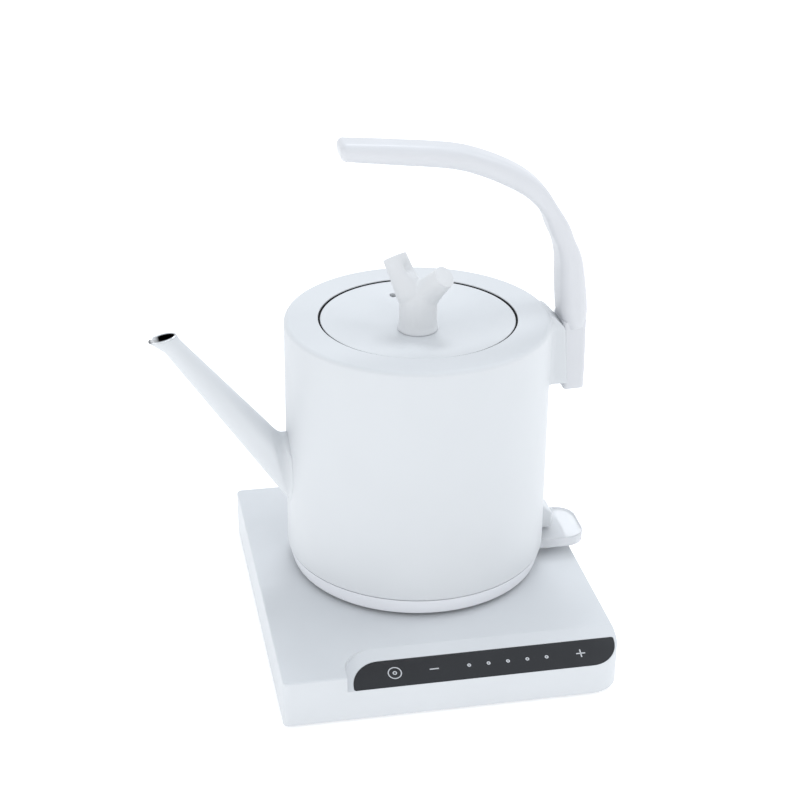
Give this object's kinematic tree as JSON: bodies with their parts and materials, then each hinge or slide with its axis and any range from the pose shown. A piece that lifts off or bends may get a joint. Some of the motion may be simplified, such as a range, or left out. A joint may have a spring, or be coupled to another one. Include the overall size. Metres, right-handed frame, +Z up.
{
  "type": "electric kettle",
  "caption": "Cordless electric kettle with a straight tapered spout, forked twig knob and open branch-shaped handle, on a rectangular power base with a dark leaf-shaped panel.",
  "frame": {"origin": "centre of the footprint's bounding box, at the underside of the feet", "axes": "+X from the spout to the handle, +Y to the back, +Z up"},
  "size_m": [0.2074, 0.1792, 0.2373],
  "materials": {
    "white_shell": "satin",
    "white_plastic": "satin",
    "white_handle": "satin",
    "white_underside": "matte",
    "panel_black": "gloss",
    "rubber_grey": "matte",
    "silicone": "matte",
    "steel": "brushed",
    "aluminium": "satin",
    "brass": "satin",
    "black_plastic": "matte",
    "board_green": "matte",
    "lamp_clear": "gloss",
    "clear_plastic": "clear gloss"
  },
  "bodies": {
    "base": {"base_housing": "white_plastic", "base_panel": "panel_black", "base_floor": "white_underside", "base_feet": "rubber_grey", "base_screws": "steel", "base_tower": "black_plastic", "tower_contacts": "brass", "cord_gland": "white_underside", "inlet_block": "black_plastic", "panel_board": "board_green", "board_lamps": "lamp_clear"},
    "socket": {"socket_insert": "black_plastic", "socket_contacts": "brass"},
    "kettle": {"body_shell": "white_shell", "spout": "white_shell", "spout_liner": "steel", "strainer": "steel", "inner_pot": "steel", "pot_gasket": "silicone", "heater_plate": "aluminium", "heating_element": "steel", "skirt": "white_plastic", "kettle_floor": "white_underside", "floor_screws": "steel", "control_housing": "black_plastic", "bimetal_disc": "brass", "steam_tube": "silicone", "handle_bracket": "white_plastic", "handle": "white_handle", "handle_screws": "steel", "switch_hood": "white_plastic"},
    "lid": {"lid_top": "white_shell", "lid_cup": "steel", "lid_seal": "silicone", "lid_knob": "white_handle", "knob_screw": "steel"},
    "switch": {"switch_lever": "clear_plastic"},
    "contact_rod": {"contact_rod": "black_plastic"}
  },
  "joints": [
    {"name": "kettle_lift", "type": "slide", "parent": "base", "child": "socket", "axis": [0, 0, 1], "range_m": [0, 0.06]},
    {"name": "kettle_swivel", "type": "hinge", "parent": "socket", "child": "kettle", "pos_m": [0.02037, 0.01095, 0.0265], "axis": [0, 0, 1], "continuous": true},
    {"name": "lid_lift", "type": "slide", "parent": "kettle", "child": "lid", "axis": [0, 0, 1], "range_m": [0, 0.036]},
    {"name": "switch_hinge", "type": "hinge", "parent": "kettle", "child": "switch", "pos_m": [0.07037, 0.01095, 0.0305], "axis": [0, 1, 0], "range_deg": [0, 5.5]},
    {"name": "contact_rod_slide", "type": "slide", "parent": "kettle", "child": "contact_rod", "axis": [0, 0, 1], "range_m": [0, 0.0006]}
  ],
  "couplings": [
    {"joint": "contact_rod_slide", "follows": "switch_hinge", "m_per_rad": 0.0054}
  ]
}
